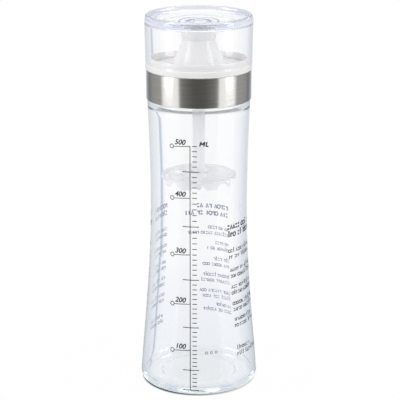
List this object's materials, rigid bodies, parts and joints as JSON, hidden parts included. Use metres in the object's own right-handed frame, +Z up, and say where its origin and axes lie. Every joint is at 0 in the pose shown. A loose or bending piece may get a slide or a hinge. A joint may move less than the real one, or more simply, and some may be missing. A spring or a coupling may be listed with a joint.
{
  "type": "dressing mixer bottle",
  "caption": "Flared glass measuring bottle with a screw-on pouring head, a bladed mixing disc on a rod, and a clear push-on cap.",
  "frame": {"origin": "centre of the flat ring that the bottle stands on", "axes": "+Z up along the bottle's axis, the printed scale faces -Y and a little to -X"},
  "size_m": [0.078, 0.078, 0.247],
  "materials": {
    "glass": "clear and polished",
    "clear_plastic": "clear and polished",
    "white_plastic": "moulded, half gloss",
    "milky_plastic": "translucent, moulded",
    "steel": "brushed round the band",
    "silicone": "matt",
    "print": "screen print on the glass"
  },
  "bodies": {
    "bottle": {"glass_bottle": "glass"},
    "neck_seal": {"neck_gasket": "silicone"},
    "head": {"screw_collar": "white_plastic", "steel_band": "steel", "pouring_spout": "white_plastic", "mixing_rod": "milky_plastic", "rod_tip": "milky_plastic"},
    "agitator": {"mixing_disc": "milky_plastic"},
    "cap": {"clear_cap": "clear_plastic"}
  },
  "joints": [
    {"name": "head_lift", "type": "slide", "parent": "bottle", "child": "neck_seal", "axis": [0, 0, 1], "range_m": [0, 0.1]},
    {"name": "head_unscrew", "type": "hinge", "parent": "neck_seal", "child": "head", "pos_m": [0, 0, 0.208], "axis": [0, 0, 1], "range_deg": [0, 450]},
    {"name": "disc_spin", "type": "hinge", "parent": "head", "child": "agitator", "pos_m": [0, 0, 0.139], "axis": [0, 0, 1], "continuous": true},
    {"name": "cap_lift", "type": "slide", "parent": "head", "child": "cap", "axis": [0, 0, 1], "range_m": [0, 0.04]}
  ]
}
